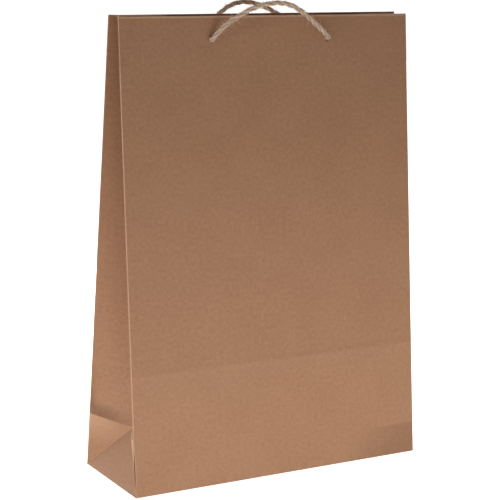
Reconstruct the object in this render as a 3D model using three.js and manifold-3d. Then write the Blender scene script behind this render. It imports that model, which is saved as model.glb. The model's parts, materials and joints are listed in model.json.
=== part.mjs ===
// Tall kraft paper gift bag with two twisted jute handles.
// Millimetres, +Z up. Origin at the centre of the underside, front panel towards -Y, width along X.
// The bag stands with its base opened flat and its mouth pressed nearly shut, so the front and back
// panels lean inwards and the side gussets are drawn in along their centre creases.

import * as THREE from 'three';
import { mergeVertices } from 'three/addons/utils/BufferGeometryUtils.js';
import Module from 'manifold-3d';

const wasm = await Module();
wasm.setup();

// Driving dimensions of the bag
const WIDTH = 320;
const DEPTH = 112;
const HEIGHT = 450;
const MOUTH = 22;

// Sheet stock, and the gap kept between neighbouring pieces
const PAPER = 0.4;
const CARD = 1.0;
const BOARD = 1.2;
const GAP = 0.3;
const FOOT_CLEARANCE = 0.1;

// Turned-in top hem, the reinforcing card inside it and the glued side seam
const HEM_HEIGHT = 50;
const HEM_INSET = 10;
const CARD_WIDTH = 170;
const CARD_HEIGHT = 38;
const CARD_DROP = 4;
const SEAM_WIDTH = 17;
const SEAM_INSET = 3;

// Handles: jute cord through two punched holes in each panel, knotted inside
const CORD_RADIUS = 2.25;
const HOLE_RADIUS = 3;
const HOLE_SPACING = 129;
const HOLE_DROP = 22.7;
const KNOT_RADIUS = 5.6;
const KNOT_THICKNESS = 8.2;
const FRONT_HANDLE_LEAN = THREE.MathUtils.degToRad(27);
const BACK_HANDLE_LEAN = THREE.MathUtils.degToRad(34);

// Each arch as across, up in its own plane, from the left hole to the right one
const FRONT_ARCH = [
  [-64.5, 0], [-57, 12.2], [-47, 21.9], [-34, 31], [-19, 37.1], [-4, 38.8],
  [10, 36.6], [25, 29.4], [40, 19.4], [54, 9.2], [64.5, 0],
];
const BACK_ARCH = [
  [-64.5, 0], [-54, 9.6], [-42, 18.7], [-30, 27.4], [-18, 34.5], [-6, 38.2],
  [6, 38.2], [18, 34.5], [30, 27.4], [42, 18.7], [54, 9.6], [64.5, 0],
];

// Lean of the two wide panels, from the depth of the base and the gap left at the mouth
const LEAN = Math.asin((DEPTH - MOUTH) / 2 / HEIGHT);

// Each gusset half turns on a line just inside its panel's side edge. At rest its fold angle grows
// with height, because the two panels come closer together towards the mouth.
const HINGE_INSET = 2 * PAPER + GAP;
const HALF_GUSSET = DEPTH / 2 - HINGE_INSET;
const SIDE_FOLD = Math.acos((1 - Math.sin(LEAN)) / Math.cos(LEAN));
const foldAngle = (height) => {
  const reach = (DEPTH / 2 - Math.max(height, DEPTH / 2) * Math.sin(LEAN)) / Math.cos(LEAN);
  return Math.acos(Math.min(1, (reach - HINGE_INSET) / HALF_GUSSET));
};

// Three stiff lengths of each gusset half, and how far each one unfolds while the mouth opens
const GUSSET_STEPS = [
  { name: 'lower', from: 5, to: 130, unfold: foldAngle(0) },
  { name: 'middle', from: 130.6, to: 333, unfold: foldAngle(225) },
  { name: 'upper', from: 333.6, to: HEIGHT, unfold: foldAngle(HEIGHT) },
];
const DIAGONAL_CLEARANCE = 3.2;
const CREASE_CLEARANCE = 0.4;
const GUSSET_ROW = 8;
const GUSSET_COLUMNS = 4;

// Flaps of the folded base, stacked from the outside in
const BACK_FLAP_REACH = 74;
const FRONT_FLAP_REACH = 67;
const SIDE_FLAP_REACH = 46;
const FLAP_INSET = 1.7;
const BOARD_INSET = 3;

const KRAFT = { color: 0x94704f, roughness: 0.86, metalness: 0 };
const KRAFT_INSIDE = { color: 0x8a6748, roughness: 0.9, metalness: 0 };
const GREYBOARD = { color: 0x9a8a76, roughness: 0.92, metalness: 0 };
const JUTE = { color: 0xb0906a, roughness: 0.95, metalness: 0 };

const bag = new THREE.Group();

// Adds one named solid to a group
function addSolid(parent, name, geometry, look) {
  const mesh = new THREE.Mesh(geometry, new THREE.MeshStandardMaterial(look));
  mesh.name = name;
  parent.add(mesh);
  return mesh;
}

// A wall's own frame: X across, Y up the wall from its bottom edge, Z out of its outer face
function wallFrame(distance, lean, turn) {
  const around = new THREE.Group();
  around.rotation.z = turn;
  const wall = new THREE.Group();
  wall.position.y = -distance;
  wall.rotation.x = Math.PI / 2 - lean;
  around.add(wall);
  bag.add(around);
  return wall;
}

// A flat sheet cut to an outline, with its top face at the given level
function flatSheet(outline, thickness, level) {
  const geometry = new THREE.ExtrudeGeometry(outline, { depth: thickness, bevelEnabled: false });
  return geometry.translate(0, 0, level - thickness);
}

function rectangle(left, right, bottom, top) {
  return new THREE.Shape([
    new THREE.Vector2(left, bottom), new THREE.Vector2(right, bottom),
    new THREE.Vector2(right, top), new THREE.Vector2(left, top),
  ]);
}

// The two punched cord holes, cut into a sheet's outline
function punch(outline) {
  for (const side of [-1, 1]) {
    const hole = new THREE.Path();
    hole.absarc((side * HOLE_SPACING) / 2, HEIGHT - HOLE_DROP, HOLE_RADIUS, 0, Math.PI * 2);
    outline.holes.push(hole);
  }
  return outline;
}

// One solid cut out of another
function toSolid(geometry) {
  const bare = geometry.clone();
  bare.deleteAttribute('normal');
  bare.deleteAttribute('uv');
  const merged = mergeVertices(bare, 1e-4);
  return new wasm.Manifold(new wasm.Mesh({
    numProp: 3,
    vertProperties: new Float32Array(merged.attributes.position.array),
    triVerts: new Uint32Array(merged.index.array),
  }));
}

function cut(geometry, tools) {
  let solid = toSolid(geometry);
  for (const tool of tools) solid = solid.subtract(toSolid(tool));
  const mesh = solid.getMesh();
  const result = new THREE.BufferGeometry();
  result.setAttribute('position', new THREE.BufferAttribute(mesh.vertProperties, 3));
  result.setIndex(new THREE.BufferAttribute(mesh.triVerts, 1));
  result.computeVertexNormals();
  return result;
}

// Wide panel, a single sheet of kraft paper
function panelGeometry() {
  return flatSheet(punch(rectangle(-WIDTH / 2, WIDTH / 2, FOOT_CLEARANCE, HEIGHT)), PAPER, 0);
}

// Reinforcing card that lies between the panel and its turned-in hem
function cardGeometry() {
  const top = HEIGHT - CARD_DROP;
  const outline = rectangle(-CARD_WIDTH / 2, CARD_WIDTH / 2, top - CARD_HEIGHT, top);
  return flatSheet(punch(outline), CARD, -(PAPER + GAP));
}

// Turned-in hem: its section steps inwards to pass over the card, and the cord holes go through it
function hemGeometry() {
  const outer = WIDTH / 2 - HEM_INSET;
  const step = CARD_WIDTH / 2 + GAP;
  const slope = CARD + GAP;
  const shallow = PAPER + GAP;
  const deep = shallow + CARD + GAP;
  const section = new THREE.Shape([
    new THREE.Vector2(-outer, shallow), new THREE.Vector2(-outer, shallow + PAPER),
    new THREE.Vector2(-step - slope - PAPER, shallow + PAPER), new THREE.Vector2(-step - PAPER, deep + PAPER),
    new THREE.Vector2(step + PAPER, deep + PAPER), new THREE.Vector2(step + slope + PAPER, shallow + PAPER),
    new THREE.Vector2(outer, shallow + PAPER), new THREE.Vector2(outer, shallow),
    new THREE.Vector2(step + slope, shallow), new THREE.Vector2(step, deep),
    new THREE.Vector2(-step, deep), new THREE.Vector2(-step - slope, shallow),
  ]);
  const hem = new THREE.ExtrudeGeometry(section, { depth: HEM_HEIGHT, bevelEnabled: false });
  hem.rotateX(-Math.PI / 2).translate(0, HEIGHT - HEM_HEIGHT - GAP, 0);
  const drills = [-1, 1].map((side) => new THREE.CylinderGeometry(HOLE_RADIUS, HOLE_RADIUS, 12, 24)
    .rotateX(Math.PI / 2)
    .translate((side * HOLE_SPACING) / 2, HEIGHT - HOLE_DROP, 0));
  return cut(hem, drills);
}

// Knot behind the hem, with the short length of cord that fills the punched hole
function knotGeometry() {
  const hemFace = -(PAPER + GAP + CARD + GAP + PAPER);
  const top = hemFace - GAP;
  const bottom = top - KNOT_THICKNESS;
  const belly = (top + bottom) / 2;
  const profile = [
    new THREE.Vector2(0, bottom), new THREE.Vector2(KNOT_RADIUS * 0.6, bottom),
    new THREE.Vector2(KNOT_RADIUS * 0.92, bottom + KNOT_THICKNESS * 0.2),
    new THREE.Vector2(KNOT_RADIUS, belly),
    new THREE.Vector2(KNOT_RADIUS * 0.92, top - KNOT_THICKNESS * 0.2),
    new THREE.Vector2(KNOT_RADIUS * 0.6, top), new THREE.Vector2(CORD_RADIUS, top),
    new THREE.Vector2(CORD_RADIUS, 0), new THREE.Vector2(0, 0),
  ];
  return new THREE.LatheGeometry(profile, 16).rotateX(Math.PI / 2);
}

// Widest that a gusset half may be at one height, so that the front and rear halves never touch
// while the mouth opens and each stiff length turns at its own steady rate
function gussetWidth(height, unfold) {
  const rest = foldAngle(height);
  let width = HALF_GUSSET;
  for (let opened = 0; opened <= 1; opened += 0.02) {
    const lean = LEAN * (1 - opened);
    const reach = (DEPTH / 2 - height * Math.sin(lean)) / Math.cos(lean) - HINGE_INSET;
    width = Math.min(width, (reach - CREASE_CLEARANCE) / Math.cos(rest - unfold * opened));
  }
  return Math.min(width, height - DIAGONAL_CLEARANCE);
}

// One stiff length of a gusset half, as a thin block bent onto the folded surface.
// The side is -1 at the left end of the wall frame and +1 at its right end.
function gussetGeometry(side, { from, to, unfold }) {
  const rows = Math.round((to - from) / GUSSET_ROW);
  const geometry = new THREE.BoxGeometry(1, 1, 1, GUSSET_COLUMNS, rows, 1);
  const position = geometry.attributes.position;
  for (let i = 0; i < position.count; i += 1) {
    const height = THREE.MathUtils.lerp(from, to, position.getY(i) + 0.5);
    const angle = foldAngle(height);
    const along = (position.getX(i) + 0.5) * gussetWidth(height, unfold);
    const inwards = PAPER * (0.5 - side * position.getZ(i));
    const across = along * Math.sin(angle) + inwards * Math.cos(angle);
    const behind = HINGE_INSET + along * Math.cos(angle) - inwards * Math.sin(angle);
    position.setXYZ(i, side * (WIDTH / 2 - across), height, -behind);
  }
  geometry.computeVertexNormals();
  return geometry;
}

// Triangle of paper at the foot of each gusset, between the two diagonal creases
function tuckGeometry() {
  const half = DEPTH / 2 - DIAGONAL_CLEARANCE + HINGE_INSET;
  const foot = 0.3;
  const outline = new THREE.Shape([
    new THREE.Vector2(-half + foot, foot), new THREE.Vector2(half - foot, foot), new THREE.Vector2(0, half),
  ]);
  return flatSheet(outline, PAPER, 0);
}

// Twisted cord arch as a round tube along its centreline
function archGeometry(points) {
  const path = new THREE.CatmullRomCurve3(points.map(([across, up]) => new THREE.Vector3(across, 0, up)));
  const section = new THREE.Shape().absarc(0, 0, CORD_RADIUS, 0, Math.PI * 2);
  return new THREE.ExtrudeGeometry(section, { steps: 34, curveSegments: 10, bevelEnabled: false, extrudePath: path });
}

// The two wide walls with everything that is fixed to them
const walls = [
  { name: 'front', turn: 0, arch: FRONT_ARCH, handleLean: FRONT_HANDLE_LEAN },
  { name: 'back', turn: Math.PI, arch: BACK_ARCH, handleLean: BACK_HANDLE_LEAN },
];
for (const { name, turn, arch, handleLean } of walls) {
  const wall = wallFrame(DEPTH / 2, LEAN, turn);
  addSolid(wall, `${name}_panel`, panelGeometry(), KRAFT);
  addSolid(wall, `${name}_hem`, hemGeometry(), KRAFT_INSIDE);
  addSolid(wall, `${name}_handle_card`, cardGeometry(), GREYBOARD);

  // The rear wall is the front one turned half round, so its own left end is the bag's right side
  for (const side of [-1, 1]) {
    const bagSide = side * Math.cos(turn) < 0 ? 'left' : 'right';
    const knot = addSolid(wall, `${name}_${bagSide}_knot`, knotGeometry(), JUTE);
    knot.position.set((side * HOLE_SPACING) / 2, HEIGHT - HOLE_DROP, 0);
    for (const step of GUSSET_STEPS) {
      addSolid(wall, `${bagSide}_${name}_gusset_${step.name}`, gussetGeometry(side, step), KRAFT);
    }
  }

  // The handle swings on a line through its two holes, just clear of the panel
  const swing = new THREE.Group();
  swing.position.set(0, HEIGHT - HOLE_DROP, CORD_RADIUS + GAP);
  swing.rotation.x = handleLean + LEAN - Math.PI / 2;
  wall.add(swing);
  addSolid(swing, `${name}_handle_cord`, archGeometry(arch), JUTE);
}

// Glue flap of the side seam, inside the front panel along its left edge
const frontWall = bag.children[0].children[0];
const seamLeft = -WIDTH / 2 + SEAM_INSET;
const seam = rectangle(seamLeft, seamLeft + SEAM_WIDTH, 6, HEIGHT - HEM_HEIGHT - 1);
addSolid(frontWall, 'side_seam_flap', flatSheet(seam, PAPER, -(PAPER + GAP)), KRAFT_INSIDE);

// Tucked triangles at the two narrow ends
addSolid(wallFrame(WIDTH / 2, SIDE_FOLD, -Math.PI / 2), 'left_base_tuck', tuckGeometry(), KRAFT);
addSolid(wallFrame(WIDTH / 2, SIDE_FOLD, Math.PI / 2), 'right_base_tuck', tuckGeometry(), KRAFT);

// Folded base: back flap outermost, then the front flap, the two end flaps and the loose board
const baseLeft = -WIDTH / 2 + FLAP_INSET;
const baseRight = WIDTH / 2 - FLAP_INSET;
const baseHalf = DEPTH / 2 - 2 * PAPER - GAP / 2;
const layer = PAPER + GAP;
const backFlap = rectangle(baseLeft, baseRight, baseHalf - BACK_FLAP_REACH, baseHalf);
addSolid(bag, 'back_base_flap', flatSheet(backFlap, PAPER, PAPER), KRAFT);
const frontFlap = rectangle(baseLeft, baseRight, -baseHalf, FRONT_FLAP_REACH - baseHalf);
addSolid(bag, 'front_base_flap', flatSheet(frontFlap, PAPER, PAPER + layer), KRAFT);
for (const [name, side] of [['left_base_flap', -1], ['right_base_flap', 1]]) {
  const root = WIDTH / 2 - FLAP_INSET;
  const tip = root - SIDE_FLAP_REACH;
  const tipHalf = baseHalf - SIDE_FLAP_REACH;
  const corners = [[root, -baseHalf], [root, baseHalf], [tip, tipHalf], [tip, -tipHalf]];
  const outline = new THREE.Shape(corners.map(([x, y]) => new THREE.Vector2(side * x, y)));
  addSolid(bag, name, flatSheet(outline, PAPER, PAPER + 2 * layer), KRAFT_INSIDE);
}
const boardX = WIDTH / 2 - BOARD_INSET;
const boardY = DEPTH / 2 - BOARD_INSET;
const board = rectangle(-boardX, boardX, -boardY, boardY);
addSolid(bag, 'base_board', flatSheet(board, BOARD, 3 * layer + BOARD), GREYBOARD);

export default bag;
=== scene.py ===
import json
import math
import random

import bmesh
import bpy
from mathutils import Matrix, Vector, noise


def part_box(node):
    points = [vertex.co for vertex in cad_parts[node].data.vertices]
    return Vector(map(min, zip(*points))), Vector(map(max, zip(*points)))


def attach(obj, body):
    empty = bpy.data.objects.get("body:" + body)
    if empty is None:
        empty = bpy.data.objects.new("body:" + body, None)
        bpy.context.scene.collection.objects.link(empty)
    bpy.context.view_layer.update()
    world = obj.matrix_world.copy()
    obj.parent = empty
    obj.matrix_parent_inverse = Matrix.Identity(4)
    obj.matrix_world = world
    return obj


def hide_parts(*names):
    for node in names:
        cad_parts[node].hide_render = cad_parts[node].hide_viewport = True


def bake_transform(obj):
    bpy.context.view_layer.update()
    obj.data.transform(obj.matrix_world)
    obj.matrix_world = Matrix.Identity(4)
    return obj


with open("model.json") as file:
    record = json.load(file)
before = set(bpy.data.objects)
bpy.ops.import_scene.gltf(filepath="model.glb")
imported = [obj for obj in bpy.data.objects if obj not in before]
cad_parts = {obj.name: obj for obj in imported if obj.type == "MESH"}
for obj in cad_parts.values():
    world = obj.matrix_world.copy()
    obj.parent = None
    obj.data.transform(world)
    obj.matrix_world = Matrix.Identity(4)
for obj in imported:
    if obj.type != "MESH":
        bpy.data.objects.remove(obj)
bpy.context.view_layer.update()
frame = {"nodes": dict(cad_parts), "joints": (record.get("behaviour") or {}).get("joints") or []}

# ---------------------------------------------------------------- Camera
# A long lens stands to the left of the bag's front, a little above its rim, and looks slightly down.
# It is rolled by about one degree, so the bag seems to lean a little.
CAMERA_PLACE = Vector((-0.7916, -1.3431, 0.5294))
CAMERA_YAW = math.radians(30.22)
CAMERA_PITCH = math.radians(-11.39)
CAMERA_ROLL = math.radians(1.29)

forward = Vector((math.sin(CAMERA_YAW) * math.cos(CAMERA_PITCH),
                  math.cos(CAMERA_YAW) * math.cos(CAMERA_PITCH), math.sin(CAMERA_PITCH)))
level = Vector((math.cos(CAMERA_YAW), -math.sin(CAMERA_YAW), 0))
upward = level.cross(forward)
camera_right = level * math.cos(CAMERA_ROLL) + upward * math.sin(CAMERA_ROLL)
camera_up = upward * math.cos(CAMERA_ROLL) - level * math.sin(CAMERA_ROLL)
camera_data = bpy.data.cameras.new("camera")
camera_data.sensor_width = 36
camera_data.lens = 115.27
camera_data.clip_end = 60
camera = bpy.data.objects.new("camera", camera_data)
turn = Matrix((camera_right, camera_up, -forward)).transposed()
camera.matrix_world = Matrix.Translation(CAMERA_PLACE) @ turn.to_4x4()
bpy.context.scene.collection.objects.link(camera)
bpy.context.scene.camera = camera

# ---------------------------------------------------------------- Twisted jute handles
# Each handle is one length of natural jute rope, three plies twisted together. Its ends go through two
# punched holes in the panel and are knotted inside, so the rope stands up from the panel in an arch.
MM = 0.001
CORD_RADIUS = 2.25 * MM
PLY_RADIUS = 1.32 * MM
PLY_OFFSET = 1.12 * MM
PLIES = 3
PLY_SIDES = 12
TWIST_PITCH = 29 * MM
STUB_INSIDE = 3.0 * MM
PANEL_GAP = 0.3 * MM
ROPE_STEP = 0.9 * MM
HAIR_COUNT = 640
HAIR_SEEDS = {"front": 11, "back": 12}
FRONT_ARCH = [
    (-64.5, 0), (-57, 12.2), (-47, 21.9), (-34, 31), (-19, 37.1), (-4, 38.8),
    (10, 36.6), (25, 29.4), (40, 19.4), (54, 9.2), (64.5, 0),
]
BACK_ARCH = [
    (-64.5, 0), (-54, 9.6), (-42, 18.7), (-30, 27.4), (-18, 34.5), (-6, 38.2),
    (6, 38.2), (18, 34.5), (30, 27.4), (42, 18.7), (54, 9.6), (64.5, 0),
]
HANDLE_LEAN = {"front": math.radians(27), "back": math.radians(34)}
WALL_TURN = {"front": 0.0, "back": math.pi}
LEAN = math.radians(next(j["range_deg"][1] for j in frame["joints"] if j["name"] == "mouth_open"))


class Socket:
    """A shader value that takes part in ordinary arithmetic: each operator adds one Math node."""

    def __init__(self, tree, output):
        self.tree = tree
        self.output = output

    def math(self, operation, *values):
        return node(self.tree, "ShaderNodeMath", {"operation": operation}, values)

    def __add__(self, other):
        return self.math("ADD", self, other)

    def __sub__(self, other):
        return self.math("SUBTRACT", self, other)

    def __rsub__(self, other):
        return self.math("SUBTRACT", other, self)

    def __mul__(self, other):
        return self.math("MULTIPLY", self, other)

    def __truediv__(self, other):
        return self.math("DIVIDE", self, other)

    def __abs__(self):
        return self.math("ABSOLUTE", self)

    def band(self, centre, width):
        """1 on a line at centre, falling smoothly to 0 at width away from it."""
        near = 1.0 - self.math("MINIMUM", abs(self - centre) / width, 1.0)
        return near * near * (3.0 - near * 2.0)

    def ramp(self, low, high):
        """0 below low, 1 above high, smooth between."""
        settings = {"interpolation_type": "SMOOTHSTEP"}
        values = {"Value": self, "From Min": low, "From Max": high}
        return node(self.tree, "ShaderNodeMapRange", settings, values)

    __radd__ = __add__
    __rmul__ = __mul__


def node(tree, kind, settings=None, values=(), output=0):
    """Adds one node: its settings first, then its sockets' values or links. Returns one output."""
    made = tree.nodes.new(kind)
    for key, value in (settings or {}).items():
        if key == "stops":
            ramp = made.color_ramp
            while len(ramp.elements) < len(value):
                ramp.elements.new(0.5)
            for element, (position, colour) in zip(ramp.elements, value):
                element.position = position
                element.color = (*colour, 1.0)
        else:
            setattr(made, key, value)
    pairs = values.items() if isinstance(values, dict) else enumerate(values)
    for key, value in pairs:
        if isinstance(value, Socket):
            tree.links.new(value.output, made.inputs[key])
        elif value is not None:
            made.inputs[key].default_value = value
    return Socket(tree, made.outputs[output])


def start_material(name):
    """An empty material with its Principled shader linked to the output."""
    material = bpy.data.materials.new(name)
    material.use_nodes = True
    tree = material.node_tree
    tree.nodes.clear()
    shader = tree.nodes.new("ShaderNodeBsdfPrincipled")
    output = tree.nodes.new("ShaderNodeOutputMaterial")
    tree.links.new(shader.outputs[0], output.inputs["Surface"])
    return material, tree, shader


def split_parts(tree, vector):
    """The three parts of a vector value."""
    made = node(tree, "ShaderNodeSeparateXYZ", values=(vector,)).output.node
    return [Socket(tree, part) for part in made.outputs]


def noise_value(tree, vector, scale, detail, roughness=0.5):
    """Cloudy noise over a vector value, from 0 to 1."""
    values = {"Vector": vector, "Scale": scale, "Detail": detail, "Roughness": roughness}
    return node(tree, "ShaderNodeTexNoise", values=values)


def mix_colour(tree, amount, first, second, blend="MIX"):
    """The second colour mixed over the first by an amount from 0 to 1."""
    settings = {"data_type": "RGBA", "blend_type": blend}
    return node(tree, "ShaderNodeMix", settings, {0: amount, 6: first, 7: second}, output=2)


def jute_material():
    """Dry tan jute: fine fibres run along each ply, the shade between the plies is painted darker, and loose
    hairs are pale.
    """
    material, tree, shader = start_material("jute rope")
    along = node(tree, "ShaderNodeAttribute", {"attribute_name": "ply"}, output="Vector")
    around, length, depth = split_parts(tree, along)
    slanted = around * 9.0 + length * 420.0
    streak = node(tree, "ShaderNodeCombineXYZ", values=(slanted, length * 130.0, depth))
    fibres = noise_value(tree, streak, 2.2, 5.0, 0.68)
    patches = node(tree, "ShaderNodeCombineXYZ", values=(around, length * 90.0, depth))
    cloud = noise_value(tree, patches, 1.3, 2.0)
    tone = fibres * 0.72 + cloud * 0.28
    stops = [(0.28, (0.27, 0.172, 0.108)), (0.47, (0.56, 0.390, 0.265)), (0.66, (0.84, 0.655, 0.490))]
    colour = node(tree, "ShaderNodeValToRGB", {"stops": stops}, (tone,))
    # Painted shade: the sides of each ply that face the other plies are mixed towards dark brown.
    shade = mix_colour(tree, (1.0 - depth) * 0.75, colour, (0.15, 0.088, 0.052, 1.0))
    tree.links.new(shade.output, shader.inputs["Base Color"])
    bump = node(tree, "ShaderNodeBump", values={"Strength": 0.9, "Distance": 0.00035, "Height": fibres})
    tree.links.new(bump.output, shader.inputs["Normal"])
    shader.inputs["Roughness"].default_value = 0.88
    shader.inputs["Specular IOR Level"].default_value = 0.25
    shader.inputs["Sheen Weight"].default_value = 0.25
    shader.inputs["Sheen Roughness"].default_value = 0.5
    return material


def smooth_route(points, step):
    """Even points, a step apart, along a Catmull-Rom curve through the given ones."""
    padded = [points[0] * 2 - points[1], *points, points[-1] * 2 - points[-2]]
    dense = []
    for a, b, c, d in zip(padded, padded[1:], padded[2:], padded[3:]):
        for i in range(24):
            t = i / 24
            dense.append(0.5 * (b * 2 + (c - a) * t + (a * 2 - b * 5 + c * 4 - d) * t ** 2
                                + (b * 3 - a - c * 3 + d) * t ** 3))
    dense.append(points[-1])
    lengths = [0.0]
    for a, b in zip(dense, dense[1:]):
        lengths.append(lengths[-1] + (b - a).length)
    count = max(4, round(lengths[-1] / step))
    even, place = [], 0
    for i in range(count + 1):
        target = lengths[-1] * i / count
        while place < len(lengths) - 2 and lengths[place + 1] < target:
            place += 1
        share = (target - lengths[place]) / max(1e-12, lengths[place + 1] - lengths[place])
        even.append(dense[place].lerp(dense[place + 1], min(1.0, share)))
    return even, lengths[-1]


def carried_frames(route):
    """A pair of cross directions at each point of a route, carried along it without turning."""
    frames = []
    side = Vector((0, 1, 0))
    for i in range(len(route)):
        ahead = (route[min(i + 1, len(route) - 1)] - route[max(i - 1, 0)]).normalized()
        side = (side - ahead * side.dot(ahead)).normalized()
        frames.append((side.copy(), ahead.cross(side)))
    return frames


def finish_mesh(name, work, material):
    """Turns a bmesh into a linked, smooth-shaded object."""
    for face in work.faces:
        face.smooth = True
    mesh = bpy.data.meshes.new(name)
    work.to_mesh(mesh)
    work.free()
    mesh.materials.append(material)
    piece = bpy.data.objects.new(name, mesh)
    bpy.context.scene.collection.objects.link(piece)
    return piece


def lay_ply(work, route, frames, phase):
    """Adds one twisted ply round the route: a grid rolled up into a tube that is open at both ends."""
    ply = work.verts.layers.float_vector["ply"]
    spans = len(route) - 1
    step = sum((b - a).length for a, b in zip(route, route[1:])) / spans
    made = bmesh.ops.create_grid(work, x_segments=PLY_SIDES, y_segments=spans, size=0.5)["verts"]
    for vert in made:
        row = round((vert.co.y + 0.5) * spans)
        roll = (vert.co.x + 0.5) * math.tau
        travelled = row * step
        angle = phase + travelled / TWIST_PITCH * math.tau
        side, rise = frames[row]
        out = side * math.cos(angle) + rise * math.sin(angle)
        across = rise * math.cos(angle) - side * math.sin(angle)
        swell = 1.0 + 0.07 * noise.noise(Vector((phase * 3, travelled * 260, 0)))
        thick = PLY_RADIUS * swell
        outwards = out * (PLY_OFFSET + thick * math.cos(roll))
        vert.co = route[row] + outwards + across * thick * math.sin(roll)
        # The third value is 1 on the outer side of the ply and 0 where it faces the other plies; it masks the
        # painted shade.
        vert[ply] = Vector((roll, travelled + phase, 0.5 + 0.5 * math.cos(roll)))


def rope_mesh(name, route, material):
    """Three plies twisted round one route, as one piece with its cut ends closed."""
    work = bmesh.new()
    work.verts.layers.float_vector.new("ply")
    frames = carried_frames(route)
    for number in range(PLIES):
        lay_ply(work, route, frames, number * math.tau / PLIES)
    bmesh.ops.remove_doubles(work, verts=work.verts, dist=1e-6)
    ends = [edge for edge in work.edges if edge.is_boundary]
    bmesh.ops.holes_fill(work, edges=ends, sides=20)
    bmesh.ops.recalc_face_normals(work, faces=work.faces)
    return finish_mesh(name, work, material)


def fuzz_mesh(name, route, material, count, rng):
    """Loose hairs that stand off the rope: each is a thin three-sided sliver, bent once."""
    work = bmesh.new()
    ply = work.verts.layers.float_vector.new("ply")
    frames = carried_frames(route)
    for _ in range(count):
        row = rng.randrange(2, len(route) - 2)
        side, rise = frames[row]
        ahead = (route[row + 1] - route[row - 1]).normalized()
        angle = rng.uniform(0, math.tau)
        out = side * math.cos(angle) + rise * math.sin(angle)
        across = ahead.cross(out)
        lean = out * rng.uniform(0.15, 0.9) + ahead * rng.uniform(-1, 1) + across * rng.uniform(-0.8, 0.8)
        curl = out * rng.uniform(-0.9, 0.5) + ahead * rng.uniform(-0.6, 0.6) + across * rng.uniform(-0.6, 0.6)
        long = rng.uniform(1.8, 5.0) * MM * (1.8 if rng.random() < 0.2 else 1.0)
        thin = rng.uniform(0.08, 0.17) * MM
        start = route[row] + out * (CORD_RADIUS * 0.86)
        aim = lean.normalized()
        bones = [start + aim * long * t + curl * long * t * t * 0.55 for t in (0, 0.35, 0.7, 1.0)]
        made = bmesh.ops.create_grid(work, x_segments=3, y_segments=3, size=0.5)["verts"]
        for vert in made:
            bone = round((vert.co.y + 0.5) * 3)
            roll = (vert.co.x + 0.5) * math.tau
            width = thin * (1.0, 0.85, 0.6, 0.15)[bone]
            vert.co = bones[bone] + (out.cross(ahead) * math.cos(roll) + ahead * math.sin(roll)) * width
            vert[ply] = Vector((roll, row * 0.01 + bone * 0.002, 1.0))
    bmesh.ops.remove_doubles(work, verts=work.verts, dist=1e-7)
    return finish_mesh(name, work, material)


jute = jute_material()
rope_routes = {}
for wall, arch in (("front", FRONT_ARCH), ("back", BACK_ARCH)):
    joint = next(j for j in frame["joints"] if j["name"] == f"{wall}_handle_swing")
    pivot = Vector(joint["pos_m"])
    facing = Matrix.Rotation(WALL_TURN[wall], 3, "Z")
    up_arch = facing @ Vector((0, -math.sin(HANDLE_LEAN[wall]), math.cos(HANDLE_LEAN[wall])))
    across = facing @ Vector((1, 0, 0))
    inward = facing @ Vector((0, math.cos(LEAN), -math.sin(LEAN)))
    points = [pivot + across * (x * MM) + up_arch * (up * MM) for x, up in arch]
    stub_depth = CORD_RADIUS + PANEL_GAP + STUB_INSIDE
    first = [points[0] + inward * stub_depth, points[0] + inward * (stub_depth * 0.45)]
    last = [points[-1] + inward * (stub_depth * 0.45), points[-1] + inward * stub_depth]
    lift = up_arch * 0.6 * MM
    bends = [*first, points[0] + lift, *points[1:-1], points[-1] + lift, *last]
    route, length = smooth_route(bends, ROPE_STEP)
    rope_routes[wall] = route
    rope = rope_mesh(f"{wall}_rope", route, jute)
    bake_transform(rope)
    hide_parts(f"{wall}_handle_cord")
    rng = random.Random(HAIR_SEEDS[wall])
    hairs = fuzz_mesh(f"{wall}_rope_hairs", route[6:-6], jute, HAIR_COUNT, rng)
    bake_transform(hairs)

# ---------------------------------------------------------------- Knots
# Inside the bag each rope end is tied in one overhand knot, which is too big to go back through its
# hole. A short tail is left past the knot, and its cut end frays.
KNOT_LOOP = 2.5 * MM
KNOT_SWING = 1.15 * MM
KNOT_DEPTH = 6.6 * MM
TAIL = 5.0 * MM

for wall in ("front", "back"):
    route = rope_routes[wall]
    ends = {-1: (route[0], route[1]), 1: (route[-1], route[-2])}
    for end, (tip, before) in ends.items():
        into = (tip - before).normalized()
        rising = (Vector((0, 0, 1)) - into * into.z).normalized()
        beside = into.cross(rising)
        turns = [tip - into * 0.5 * MM]
        for i in range(25):
            t = 0.35 + i / 24 * (math.tau - 0.75)
            swing = KNOT_LOOP + KNOT_SWING * math.cos(3 * t)
            spot = beside * (swing * math.cos(2 * t)) + rising * (swing * math.sin(2 * t))
            turns.append(tip + spot + into * (KNOT_DEPTH * 0.5 + KNOT_DEPTH * 0.27 * math.sin(3 * t)))
        drop = turns[-1] - rising * TAIL + into * 1.5 * MM
        turns += [turns[-1].lerp(drop, 0.5) + beside * 0.8 * MM, drop]
        path, _ = smooth_route(turns, 0.8 * MM)
        knot = rope_mesh(f"{wall}_knot_{'first' if end < 0 else 'second'}", path, jute)
        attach(knot, f"{wall}_wall")
        side_word = "left" if end * math.cos(WALL_TURN[wall]) < 0 else "right"
        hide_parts(f"{wall}_{side_word}_knot")

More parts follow.
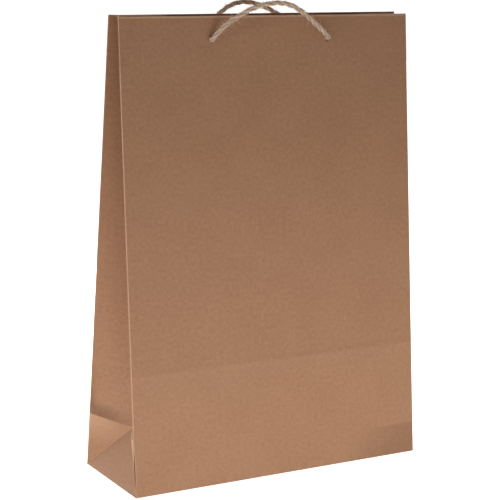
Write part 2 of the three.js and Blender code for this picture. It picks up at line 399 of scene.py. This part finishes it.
# ---------------------------------------------------------------- Front and back panels
# The two wide walls are one sheet of uncoated brown kraft paper each. The sheet is folded round the
# side edges and the bottom edge, turned over at the rim, and punched for the rope.
panel_low, panel_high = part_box("front_panel")
WIDTH = panel_high[0] - panel_low[0]
DEPTH = -2 * panel_low[1]
MOUTH = 22 * MM
HEIGHT = (DEPTH - MOUTH) / 2 / math.sin(LEAN)
PAPER = 0.32 * MM
THIN_PAPER = 0.28 * MM
FINE_STEP = 6 * MM
FOLD_RADIUS = 1.0 * MM
RIM_RADIUS = 1.1 * MM
HEM_HEIGHT = 50 * MM
HEM_INSET = 9 * MM
HOLE_RADIUS = 2.6 * MM
HOLE_SPACING = 129 * MM
HOLE_DROP = 22.7 * MM
HOLE_PATCH = 10 * MM
FIBRE_COLOURS = [(0.0, (0.248, 0.118, 0.056)), (0.5, (0.296, 0.145, 0.072)), (1.0, (0.345, 0.176, 0.091))]


def kraft_material(name, folds, shade_at=None, painted_shade_factor=1.0):
    """Brown kraft paper. folds(x, y) gives how far each place of the flat sheet is lightened, 0 to 1, by worn
    folds and, on the gussets, by a painted highlight; the next function gives how much painted shade darkens
    it there, and the last value is painted shade over the whole sheet."""
    material, tree, shader = start_material(name)
    flat = node(tree, "ShaderNodeAttribute", {"attribute_name": "flat"}, output="Vector")
    x, y, _ = split_parts(tree, flat)
    grain = node(tree, "ShaderNodeCombineXYZ", values=(x * 1900.0, y * 520.0, 0.0))
    fine = noise_value(tree, grain, 1.0, 4.0, 0.62)
    cross = node(tree, "ShaderNodeCombineXYZ", values=(x * 420.0, y * 1500.0, 3.0))
    hair = noise_value(tree, cross, 1.0, 3.0, 0.6)
    flock = noise_value(tree, flat, 260.0, 3.0, 0.6)
    cloud = noise_value(tree, flat, 22.0, 3.0)
    tone = fine * 0.34 + hair * 0.26 + flock * 0.30 + cloud * 0.10
    colour = node(tree, "ShaderNodeValToRGB", {"stops": FIBRE_COLOURS}, (tone.ramp(0.34, 0.66),))
    fleck = hair.ramp(0.70, 0.80) * 0.5
    colour = mix_colour(tree, fleck, colour, (0.42 * painted_shade_factor, 0.235 * painted_shade_factor, 0.14 * painted_shade_factor, 1.0))
    # Folds lighten the paper where they are worn; on the gussets this also carries a painted highlight below
    # the shoulder.
    wear_and_highlight = folds(x, y)
    colour = mix_colour(tree, wear_and_highlight, colour, (0.60 * painted_shade_factor, 0.365 * painted_shade_factor, 0.225 * painted_shade_factor, 1.0))
    # Painted shade: where the shade function says, the colour is multiplied towards dark brown.
    if shade_at:
        dark = (0.30, 0.24, 0.20, 1.0)
        colour = mix_colour(tree, shade_at(x, y), colour, dark, "MULTIPLY")
    # Painted shade: the whole sheet made darker by one factor.
    if painted_shade_factor != 1.0:
        colour = mix_colour(tree, 1.0, colour, (painted_shade_factor, painted_shade_factor, painted_shade_factor, 1.0), "MULTIPLY")
    tree.links.new(colour.output, shader.inputs["Base Color"])
    height = fine * 0.45 + hair * 0.25 + flock * 0.55 + cloud * 1.2
    bump = node(tree, "ShaderNodeBump", values={"Strength": 0.55, "Distance": 0.00016, "Height": height})
    tree.links.new(bump.output, shader.inputs["Normal"])
    rough = 0.66 + fine * 0.10 + wear_and_highlight * 0.08
    tree.links.new(rough.output, shader.inputs["Roughness"])
    shader.inputs["Specular IOR Level"].default_value = 0.32
    return material


def sheet_grid(columns, rows):
    """A flat bmesh grid with lines at the given places, in the sheet's own flat coordinates."""
    work = bmesh.new()
    bmesh.ops.create_grid(work, x_segments=len(columns) - 1, y_segments=len(rows) - 1, size=0.5)
    for vert in work.verts:
        column = round((vert.co.x + 0.5) * (len(columns) - 1))
        row = round((vert.co.y + 0.5) * (len(rows) - 1))
        vert.co = (columns[column], rows[row], 0)
    return work


def spread(low, high, step, *extra):
    """Evenly spaced places from low to high, with extra places put in."""
    count = max(1, round((high - low) / step))
    places = [low + (high - low) * i / count for i in range(count + 1)]
    for place in extra:
        places = [p for p in places if abs(p - place) > step * 0.3 or p in (low, high)]
        places.append(place)
    return sorted(set(places))


def fold_sheet(work, place):
    """Keeps each point's flat place on the sheet, then puts the point where the folded sheet has it."""
    flat = work.verts.layers.float_vector.new("flat")
    for vert in work.verts:
        vert[flat] = vert.co.copy()
    for vert in work.verts:
        vert.co = place(vert.co.x, vert.co.y)


def paper_piece(name, work, material, thickness=PAPER):
    """A finished sheet: its thickness goes inwards from the outer face, and its edges are closed."""
    for edge in work.edges:
        edge.smooth = not edge.is_boundary
    piece = finish_mesh(name, work, material)
    wall = piece.modifiers.new("paper thickness", "SOLIDIFY")
    wall.thickness = thickness
    wall.offset = -1
    wall.use_even_offset = False
    return piece


def on_wall(wall, across, up, out):
    """A point on a wide wall: across it, up it from its bottom edge, and out of its outer face."""
    y = -DEPTH / 2 + up * math.sin(LEAN) - out * math.cos(LEAN)
    z = up * math.cos(LEAN) + out * math.sin(LEAN)
    return Matrix.Rotation(WALL_TURN[wall], 3, "Z") @ Vector((across, y, z))


def panel_bow(wall, across, up):
    """How far the paper of a wide wall stands out of flat: still at its folds, loose in between."""
    side = max(0.0, 1 - (2 * across / WIDTH) ** 2)
    height = max(0.0, min(1.0, up / (HEIGHT * 0.12)))
    height *= max(0.0, min(1.0, (HEIGHT * 0.87 - up) / (HEIGHT * 0.2)))
    seed = 3.1 if wall == "front" else 8.7
    slow = noise.noise(Vector((across * 7, up * 6, seed)))
    return side * height * (0.8 + slow * 1.6) * MM


def rim_rise(wall, across, up):
    """The cut sheets aren't quite level at the rim: the back one climbs to the right."""
    share = (across + WIDTH / 2) / WIDTH if wall == "front" else (WIDTH / 2 - across) / WIDTH
    near = max(0.0, min(1.0, (up - HEIGHT + 110 * MM) / (60 * MM)))
    return near * (0.5 * MM * (share - 1) if wall == "front" else 1.2 * MM * share)


def foot_buckle(across, up):
    """The shallow dent across the foot at one end, left by the folded base."""
    near = math.exp(-((WIDTH / 2 - across) / (26 * MM)) ** 2)
    edge = min(1.0, max(0.0, (WIDTH / 2 - across) / (5 * MM)))
    rise = (up - 30 * MM) / (11 * MM)
    return near * edge * (0.9 * MM) * rise * math.exp(-rise * rise)


def seam_lift(across, up):
    """Where the glue stops short, the cut edge of the seam stands off the fold behind it."""
    near = max(0.0, 1 - (across + WIDTH / 2) / (11 * MM))
    height = math.exp(-((up - 27 * MM) / (15 * MM)) ** 4)
    return 1.7 * MM * near * near * height


def panel_place(wall, seam_edge):
    """The folding rule of one wide panel, from flat place to place on the standing bag."""
    def place(x, y):
        edge = WIDTH / 2 - FOLD_RADIUS
        across, out = x, 0.0
        if abs(x) > edge and not (seam_edge and x < 0):
            angle = min(math.pi / 2, (abs(x) - edge) / FOLD_RADIUS)
            beyond = max(0.0, abs(x) - edge - FOLD_RADIUS * math.pi / 2)
            across = math.copysign(edge + FOLD_RADIUS * math.sin(angle), x)
            out = FOLD_RADIUS * (math.cos(angle) - 1) - beyond
        up = y
        if y < FOLD_RADIUS:
            angle = min(math.pi / 2, (FOLD_RADIUS - y) / FOLD_RADIUS)
            beyond = max(0.0, FOLD_RADIUS - y - FOLD_RADIUS * math.pi / 2)
            up = FOLD_RADIUS * (1 - math.sin(angle))
            out += FOLD_RADIUS * (math.cos(angle) - 1) - beyond
        rim = HEIGHT - RIM_RADIUS
        if y > rim:
            angle = min(math.pi, (y - rim) / RIM_RADIUS)
            beyond = max(0.0, y - rim - RIM_RADIUS * math.pi)
            up = rim + RIM_RADIUS * math.sin(angle) - beyond
            out += RIM_RADIUS * (math.cos(angle) - 1)
        out += panel_bow(wall, across, min(up, HEIGHT))
        if wall == "front":
            out += foot_buckle(across, up) + (seam_lift(across, up) if seam_edge else 0.0)
        up = max(up, 0.0) + rim_rise(wall, across, up)
        spot = on_wall(wall, across, up, out)
        spot.z = max(spot.z, 0.03 * MM)
        return spot
    return place


def punch_holes(work):
    """Cuts the two round rope holes: a square patch of the grid is taken out and bridged to a circle."""
    for side in (-1, 1):
        centre = Vector((side * HOLE_SPACING / 2, HEIGHT - HOLE_DROP, 0))
        reach = HOLE_PATCH / 2 - 0.2 * MM
        patch = [f for f in work.faces if max(abs(f.calc_center_median().x - centre.x),
                                             abs(f.calc_center_median().y - centre.y)) < reach]
        rim = {e for f in patch for e in f.edges if any(o not in patch for o in e.link_faces)}
        bmesh.ops.delete(work, geom=patch, context="FACES")
        ring = bmesh.ops.create_circle(work, segments=16, radius=HOLE_RADIUS)["verts"]
        bmesh.ops.translate(work, verts=ring, vec=centre)
        circle = {e for v in ring for e in v.link_edges}
        bmesh.ops.bridge_loops(work, edges=list(rim) + list(circle))
    bmesh.ops.recalc_face_normals(work, faces=work.faces)
    if sum(f.normal.z for f in work.faces) < 0:
        bmesh.ops.reverse_faces(work, faces=work.faces)


def panel_folds(x, y):
    """Worn folds of a wide panel: both side edges, the rim, the foot and the line left by the base."""
    sides = abs(x).band(WIDTH / 2, 0.7 * MM)
    rim = y.band(HEIGHT - 0.6 * MM, 1.9 * MM)
    foot = y.band(0.0, 1.4 * MM)
    line = y.band(DEPTH + 1 * MM, 4.0 * MM) * 0.03
    stretched = (1.0 - y.ramp(DEPTH - 3 * MM, DEPTH + 7 * MM)) * 0.045
    return sides * 0.7 + rim * 0.75 + foot * 0.2 + (line + stretched)


def panel_painted_shade(x, y):
    """Painted shade on the front panel: darker below the crease across its lower right corner, and along the
    base's line.
    """
    corner = (x - y * 0.9).ramp(WIDTH / 2 - 105 * MM, WIDTH / 2 - 22 * MM)
    below = 1.0 - y.ramp(29.5 * MM, 33 * MM)
    line = y.band(DEPTH + 6 * MM, 4.0 * MM) * (x.ramp(-WIDTH / 4, WIDTH / 4) * 0.5 + 0.2)
    return below * corner * 0.30 + line * 0.11


kraft = kraft_material("kraft paper", panel_folds)
# The front panel's material carries painted shade.
front_kraft = kraft_material("kraft paper of the front panel", panel_folds, panel_painted_shade)
hole_lines = []
for side in (-1, 1):
    hole_lines += [side * HOLE_SPACING / 2 + step * HOLE_PATCH / 4 for step in range(-2, 3)]
hole_rows = [HEIGHT - HOLE_DROP + step * HOLE_PATCH / 4 for step in range(-2, 3)]
quarter = FOLD_RADIUS * math.pi / 2
arc_places = [quarter * i / 4 for i in range(5)]
for wall in ("front", "back"):
    seam_edge = wall == "front"
    edge = WIDTH / 2 - FOLD_RADIUS
    wrap = [edge + a for a in arc_places] + [edge + quarter + 0.1 * MM]
    left = [-WIDTH / 2, -WIDTH / 2 + 0.5 * MM] if seam_edge else [-w for w in wrap]
    middle = spread(-edge + 4 * MM, edge - 4 * MM, FINE_STEP, *hole_lines)
    columns = sorted(set(left + [-edge + 1 * MM, -edge + 2.4 * MM] + middle + [edge - 1.5 * MM] + wrap))
    foot = [FOLD_RADIUS - quarter - 1 * MM] + [FOLD_RADIUS - a for a in reversed(arc_places)]
    rim = [HEIGHT - RIM_RADIUS + RIM_RADIUS * math.pi / 2 * i / 4 for i in range(5)]
    rows = spread(2 * MM, HEIGHT - RIM_RADIUS - 1 * MM, FINE_STEP, *hole_rows)
    rows = sorted(set(foot + rows + rim))
    work = sheet_grid(columns, rows)
    punch_holes(work)
    fold_sheet(work, panel_place(wall, seam_edge))
    finish = front_kraft if wall == "front" else kraft
    panel = paper_piece(f"{wall}_panel_sheet", work, finish)
    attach(panel, f"{wall}_wall")
    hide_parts(f"{wall}_panel")

    hem_rows = [HEIGHT - RIM_RADIUS + RIM_RADIUS * math.pi / 2 * (1 + i / 4) for i in range(5)]
    hem_start = hem_rows[-1]
    lower = spread(hem_start + 1 * MM, hem_start + HEM_HEIGHT, FINE_STEP)
    hem_columns = spread(-WIDTH / 2 + HEM_INSET, WIDTH / 2 - HEM_INSET, FINE_STEP)
    work = sheet_grid(hem_columns, sorted(set(hem_rows + lower)))
    fold_sheet(work, panel_place(wall, False))
    hem = paper_piece(f"{wall}_turned_hem", work, kraft)
    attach(hem, f"{wall}_wall")
    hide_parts(f"{wall}_hem")

# ---------------------------------------------------------------- Seam flap
# The left gusset's own sheet goes on past the corner as a narrow flap. It lies behind the front panel's
# cut edge and is glued to it, all the way up to the turned hem.
FLAP_WIDTH = 19 * MM
FLAP_BEHIND = 0.42 * MM
FLAP_RADIUS = 0.6 * MM


def seam_place(x, y):
    """x is how far a point of the flap is from the gusset's fold, measured round the corner."""
    quarter_turn = FLAP_RADIUS * math.pi / 2
    angle = min(math.pi / 2, x / FLAP_RADIUS)
    across = -WIDTH / 2 + FLAP_RADIUS * (1 - math.cos(angle)) + max(0.0, x - quarter_turn)
    behind = FLAP_BEHIND + FLAP_RADIUS * (1 - math.sin(angle))
    if x <= 0:
        across, behind = -WIDTH / 2, 1.1 * MM
    loose = math.exp(-((y - 28 * MM) / (19 * MM)) ** 4) * max(0.0, 1 - abs(x - 1.2 * MM) / (2.5 * MM))
    across += 0.5 * MM * loose
    behind += 0.3 * MM * loose
    return on_wall("front", across, y, panel_bow("front", across, y) * 0.9 - behind)


def flap_fold(x, y):
    """The flap's fold shows only a little wear."""
    return x.band(0.0, 0.2 * MM) * 0.05


def gap_shade(x, y):
    """Painted shadow in the crevice of the unglued stretch near the foot, where the flap slips behind the
    panel's edge.
    """
    return y.band(28 * MM, 26 * MM).ramp(0.02, 0.45) * (1.0 - x.ramp(3 * MM, 6 * MM))


flap_arc = [FLAP_RADIUS * math.pi / 2 * i / 4 for i in range(5)]
flap_columns = flap_arc + spread(2 * MM, FLAP_WIDTH, 4 * MM)
work = sheet_grid(flap_columns, spread(2 * MM, HEIGHT - HEM_HEIGHT - 1 * MM, FINE_STEP))
fold_sheet(work, seam_place)
# The flap's material carries a painted shadow in the unglued gap.
flap_kraft = kraft_material("kraft paper of the seam flap", flap_fold, gap_shade)
flap = paper_piece("side_seam_flap_sheet", work, flap_kraft, THIN_PAPER)
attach(flap, "front_wall")
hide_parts("side_seam_flap")

# ---------------------------------------------------------------- Side gussets
# Each narrow side is one strip of the same paper with a centre crease that folds into the bag. At its
# foot two diagonal creases and a level crease let it open into the block base.
HINGE_INSET = 1.1 * MM
HALF_GUSSET = DEPTH / 2 - HINGE_INSET
SHOULDER = DEPTH / 2
LOW_HINGE = 50 * MM
MIDDLE_HINGE = 225 * MM
GUSSET_RIM = 0.45 * MM
GUSSET_HEM = 46 * MM


def fold_angle(up):
    """How far a gusset half is folded in from its panel's side edge, at one height."""
    reach = (DEPTH / 2 - max(up, SHOULDER) * math.sin(LEAN)) / math.cos(LEAN)
    return math.acos(min(1.0, (reach - HINGE_INSET) / HALF_GUSSET))


def gusset_dent(along, up):
    """The level crease at the shoulder: the paper rolls out just below it and in just above it."""
    share = max(0.0, min(1.0, along / HALF_GUSSET))
    profile = math.sin(math.pi * share ** 0.42) if 0 < share < 1 else 0.0
    rise = (up - SHOULDER) / MM
    if rise < 0:
        limit = max(0.0, min(1.0, (up / SHOULDER - share) * 4))
        return -1.9 * MM * profile * math.exp(rise / 20) * limit
    ridge = -1.9 * math.exp(-(rise / 5) ** 1.5) + 2.6 * (rise / 13) * math.exp(1 - rise / 13)
    return MM * profile * ridge


def on_gusset(wall, side, along, up, inwards):
    """A point on a gusset half: along it from the panel's edge, up the edge, and into the bag."""
    angle = fold_angle(up)
    across = along * math.sin(angle) + inwards * math.cos(angle)
    behind = HINGE_INSET + along * math.cos(angle) - inwards * math.sin(angle)
    return on_wall(wall, side * (WIDTH / 2 - across), up, -behind)


def gusset_folds_and_highlight(x, y):
    """Worn folds of a gusset half: the panel's edge, the centre crease, the diagonal and the shoulder, with a
    painted highlight just below the shoulder.
    """
    edge = x.band(0.0, 1.2 * MM) * 0.5
    centre = x.band(HALF_GUSSET, 1.3 * MM) * 0.45
    diagonal = (y - x).band(HINGE_INSET, 1.3 * MM) * 0.28
    shoulder = y.band(SHOULDER, 1.2 * MM) * 0.12
    imprint = y.band(DEPTH + 1 * MM, 4.0 * MM) * 0.03
    rim = y.band(HEIGHT + 0.3 * MM, 1.6 * MM) * 0.5
    # Painted highlight: the paper just below the shoulder crease is lightened, less so inwards.
    under = 1.0 - y.ramp(SHOULDER - 0.4 * MM, SHOULDER + 0.4 * MM)
    below = y.ramp(SHOULDER - 36 * MM, SHOULDER - 1 * MM) * under
    painted_highlight = below * (1.0 - x.ramp(8 * MM, HALF_GUSSET) * 0.6) * 0.30
    return edge + centre + diagonal + shoulder + imprint + rim + painted_highlight


def gusset_painted_shade(x, y):
    """Painted shade: a band in the hollow above the shoulder, sharp along the crease, soft above and less
    inwards, and the corner at the foot by the panel's edge.
    """
    soft = 1.0 - y.ramp(SHOULDER + 5 * MM, SHOULDER + 16 * MM)
    above = y.ramp(SHOULDER - 0.4 * MM, SHOULDER + 0.8 * MM) * soft
    inwards = 1.0 - x.ramp(8 * MM, HALF_GUSSET) * 0.7
    corner = 1.0 - (x + y).ramp(3 * MM, 9 * MM)
    return above * inwards * 0.40 + corner * 0.5


# The gussets' material: painted shade above the shoulder, painted highlight below it.
gusset_kraft = kraft_material("kraft paper of the gussets", gusset_folds_and_highlight, gusset_painted_shade)


def gusset_piece(name, wall, side, columns, rows, width_at):
    """One length of a gusset half, with a turned-in hem where its rows go past the rim."""
    work = sheet_grid(columns, rows)

    def place(x, y):
        up, inwards = y, 0.0
        if y > HEIGHT - GUSSET_RIM:
            angle = min(math.pi, (y - HEIGHT + GUSSET_RIM) / GUSSET_RIM)
            beyond = max(0.0, y - HEIGHT + GUSSET_RIM - GUSSET_RIM * math.pi)
            up = HEIGHT - GUSSET_RIM + GUSSET_RIM * math.sin(angle) - beyond
            inwards = GUSSET_RIM * (1 - math.cos(angle))
        return on_gusset(wall, side, x, up, inwards + gusset_dent(x, up))

    for vert in work.verts:
        vert.co.x *= width_at(vert.co.y)
    fold_sheet(work, place)
    if side > 0:
        bmesh.ops.reverse_faces(work, faces=work.faces)
    return paper_piece(name, work, gusset_kraft, THIN_PAPER)


gusset_columns = spread(0.0, 1.0, 0.1, 0.02, 0.98)
for wall in ("front", "back"):
    for side in (-1, 1):
        bag_side = "left" if side * math.cos(WALL_TURN[wall]) < 0 else "right"
        label = f"{bag_side}_{wall}_gusset"
        hinge_low = on_wall(wall, side * WIDTH / 2, LOW_HINGE, -HINGE_INSET)
        hinge_middle = on_wall(wall, side * WIDTH / 2, MIDDLE_HINGE, -HINGE_INSET)
        hinge_top = on_wall(wall, side * WIDTH / 2, HEIGHT, -HINGE_INSET)

        rows = spread(HINGE_INSET + 0.3 * MM, SHOULDER, 2.5 * MM)
        foot = gusset_piece(f"{label}_foot", wall, side, gusset_columns, rows,
                            lambda y: min(HALF_GUSSET, y - HINGE_INSET))
        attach(foot, f"{label}_lower")
        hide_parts(f"{label}_lower")

        rows = spread(SHOULDER, SHOULDER + 50 * MM, 2 * MM)
        rows += spread(SHOULDER + 55 * MM, MIDDLE_HINGE, FINE_STEP)
        lower = gusset_piece(f"{label}_lower_sheet", wall, side, gusset_columns, rows,
                             lambda y: HALF_GUSSET)
        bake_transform(lower)
        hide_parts(f"{label}_middle")

        arc = [HEIGHT - GUSSET_RIM + GUSSET_RIM * math.pi * i / 6 for i in range(7)]
        rows = spread(MIDDLE_HINGE, HEIGHT - 3 * MM, FINE_STEP) + arc
        rows += spread(arc[-1] + 2 * MM, arc[-1] + GUSSET_HEM, FINE_STEP)
        upper = gusset_piece(f"{label}_upper_sheet", wall, side, gusset_columns, rows,
                             lambda y: HALF_GUSSET)
        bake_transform(upper)
        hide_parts(f"{label}_upper")

# ---------------------------------------------------------------- Base tucks
# Between the diagonal creases the foot of each narrow side is a triangle. While the mouth is nearly
# shut it leans into the bag; its bottom edge is folded under onto the base.
SIDE_FOLD = math.acos((1 - math.sin(LEAN)) / math.cos(LEAN))
TUCK_RAISE = 0.56 * MM
TUCK_RAISE_FALL = 0.005
TUCK_MARGIN = 0.35 * MM
# Painted shade: the tucks face up, away from the low lamps, so their whole colour is made darker by this
# factor.
TUCK_PAINTED_SHADE = 0.79


def tuck_folds(x, y):
    """Worn folds of the triangle: its bottom edge and its two diagonals."""
    foot = y.band(0.0, 1.4 * MM) * 0.3
    diagonal = (abs(x) + y).band(DEPTH / 2, 1.3 * MM) * 0.28
    return foot + diagonal


# The tucks' material is darkened all over: painted shade.
tuck_kraft = kraft_material("kraft paper of the tucks", tuck_folds, painted_shade_factor=TUCK_PAINTED_SHADE)
for bag_side, facing in (("left", -math.pi / 2), ("right", math.pi / 2)):
    def place(x, y):
        out, up = 0.0, y
        if y < FOLD_RADIUS:
            angle = min(math.pi / 2, (FOLD_RADIUS - y) / FOLD_RADIUS)
            beyond = max(0.0, FOLD_RADIUS - y - FOLD_RADIUS * math.pi / 2)
            up = FOLD_RADIUS * (1 - math.sin(angle))
            out = FOLD_RADIUS * (math.cos(angle) - 1) - beyond
        out += (TUCK_RAISE - TUCK_RAISE_FALL * up) * min(1.0, up / (3 * MM))
        distance = -WIDTH / 2 + up * math.sin(SIDE_FOLD) - out * math.cos(SIDE_FOLD)
        height = up * math.cos(SIDE_FOLD) + out * math.sin(SIDE_FOLD)
        return Matrix.Rotation(facing, 3, "Z") @ Vector((x, distance, max(0.05 * MM, height)))

    tuck_rows = [FOLD_RADIUS - a for a in reversed(arc_places[:3])]
    tuck_rows = sorted(set(tuck_rows + spread(2 * MM, DEPTH / 2 - 0.4 * MM, 2.5 * MM)))
    work = sheet_grid(spread(-1.0, 1.0, 0.1), tuck_rows)
    for vert in work.verts:
        vert.co.x *= DEPTH / 2 + TUCK_MARGIN - max(0.6 * MM, vert.co.y)
    fold_sheet(work, place)
    tuck = paper_piece(f"{bag_side}_tuck_sheet", work, tuck_kraft)
    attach(tuck, f"{bag_side}_base_tuck")
    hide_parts(f"{bag_side}_base_tuck")

# ---------------------------------------------------------------- Base flaps
# The paper below the bottom folds makes the base: the two end flaps go in first, and the wide front and
# back flaps are glued over each other outside them. Their sheets show the same kraft as the walls.
def solid_paper(name, colours, speck, grain_scale):
    """Paper or board on a solid piece: its pattern is laid out in the piece's own coordinates."""
    material, tree, shader = start_material(name)
    place = node(tree, "ShaderNodeTexCoord", output="Object")
    stretched = node(tree, "ShaderNodeMapping", values={"Vector": place, "Scale": (1.0, 2.6, 1.0)})
    fine = noise_value(tree, stretched, grain_scale, 4.0)
    cloud = noise_value(tree, place, 70.0, 3.0)
    tone = fine * 0.6 + cloud * 0.4
    colour = node(tree, "ShaderNodeValToRGB", {"stops": colours}, (tone.ramp(0.32, 0.68),))
    specks = node(tree, "ShaderNodeTexVoronoi", values={"Vector": stretched, "Scale": grain_scale * 0.35})
    colour = mix_colour(tree, (1.0 - specks.ramp(0.05, 0.16)) * 0.55, colour, speck)
    tree.links.new(colour.output, shader.inputs["Base Color"])
    bump = node(tree, "ShaderNodeBump", values={"Strength": 0.5, "Distance": 0.0002, "Height": tone})
    tree.links.new(bump.output, shader.inputs["Normal"])
    rough = 0.68 + fine * 0.14
    tree.links.new(rough.output, shader.inputs["Roughness"])
    shader.inputs["Specular IOR Level"].default_value = 0.3
    return material


def dress(name, material):
    """Gives a carried-over solid its finish."""
    for slot in frame["nodes"][name].material_slots:
        slot.link = "OBJECT"
        slot.material = material


base_kraft = solid_paper("kraft paper of the base", FIBRE_COLOURS, (0.42, 0.235, 0.14, 1.0), 900.0)
for flap_name in ("front_base_flap", "back_base_flap", "left_base_flap", "right_base_flap"):
    dress(flap_name, base_kraft)

# ---------------------------------------------------------------- Base board and handle cards
# Loose greyboard stiffens the base, and a greyboard strip lies under each turned hem, where it takes the
# pull of the rope. It is pressed from recycled fibre, so it is grey-brown and full of specks.
GREYBOARD_COLOURS = [(0.0, (0.17, 0.145, 0.115)), (0.5, (0.24, 0.21, 0.17)), (1.0, (0.32, 0.285, 0.235))]
greyboard = solid_paper("greyboard", GREYBOARD_COLOURS, (0.09, 0.075, 0.06, 1.0), 1300.0)
for board_name in ("base_board", "front_handle_card", "back_handle_card"):
    dress(board_name, greyboard)

# ---------------------------------------------------------------- Floor and light
# A pale floor that glows softly, as a light table does, under a ring of low, soft panels. They stand
# near the floor on every side, so the paper is brightest at its foot and darker towards the rim.
floor_material, _, floor_shader = start_material("pale floor")
floor_shader.inputs["Base Color"].default_value = (0.90, 0.90, 0.90, 1)
floor_shader.inputs["Roughness"].default_value = 0.9
floor_shader.inputs["Emission Color"].default_value = (1, 1, 1, 1)
floor_shader.inputs["Emission Strength"].default_value = 1.0
bpy.ops.mesh.primitive_plane_add(size=60, location=(0, 0, -0.7 * MM))
floor = bpy.context.object
floor.name = "floor"
floor.visible_diffuse = False
floor.data.materials.append(floor_material)


def soft_light(name, place, aim, size, power):
    """One rectangular panel that lights the bag and isn't seen itself."""
    light = bpy.data.lights.new(name, "AREA")
    light.shape = "RECTANGLE"
    light.size, light.size_y = size
    light.energy = power
    lamp = bpy.data.objects.new(name, light)
    lamp.location = place
    lamp.rotation_euler = (Vector(aim) - Vector(place)).to_track_quat("-Z", "Y").to_euler()
    lamp.visible_camera = False
    bpy.context.scene.collection.objects.link(lamp)


soft_light("low front panel", (0.0, -0.9, 0.10), (0.0, 0.0, 0.10), (0.8, 0.2), 2.4)
soft_light("low left front panel", (-0.75, -0.75, 0.12), (0.0, 0.0, 0.10), (0.5, 0.25), 1.2)
soft_light("floor strip in front", (0.02, -0.5, 0.02), (0.0, 0.0, 0.05), (1.2, 0.2), 2.8)
soft_light("low left panel", (-0.9, 0.0, 0.06), (-0.16, 0.0, 0.04), (0.5, 0.12), 3.2)
soft_light("far left panel", (-1.6, 0.3, 0.13), (-0.16, 0.0, 0.08), (0.6, 0.2), 7.5)
soft_light("low right panel", (0.9, 0.0, 0.06), (0.16, 0.0, 0.06), (0.5, 0.12), 2.5)
soft_light("far right panel", (1.6, 0.3, 0.2), (0.16, 0.0, 0.12), (0.6, 0.3), 10.0)
soft_light("low back panel", (-0.1, 0.9, 0.10), (0.0, 0.0, 0.10), (0.8, 0.2), 2.3)
soft_light("floor strip behind", (-0.15, 0.5, 0.02), (0.0, 0.0, 0.05), (1.2, 0.2), 2.6)
soft_light("overhead panel", (-0.3, 1.3, 1.9), (-0.3, 0.9, 0.0), (2.0, 1.8), 36)
rim_light = bpy.data.lights.new("rim spot", "SPOT")
rim_light.energy = 80
rim_light.spot_size = math.radians(6)
rim_light.spot_blend = 1.0
rim_light.shadow_soft_size = 0.12
rim_lamp = bpy.data.objects.new("rim spot", rim_light)
rim_lamp.location = (-1.6, -0.55, 0.62)
rim_lamp.rotation_euler = (Vector((0, 0.02, 0.50)) - rim_lamp.location).to_track_quat("-Z", "Y").to_euler()
bpy.context.scene.collection.objects.link(rim_lamp)
world = bpy.data.worlds.new("studio")
world.use_nodes = True
world.node_tree.nodes["Background"].inputs["Color"].default_value = (1, 1, 1, 1)
world.node_tree.nodes["Background"].inputs["Strength"].default_value = 0.14
bpy.context.scene.world = world
bpy.context.scene.view_settings.view_transform = "Standard"
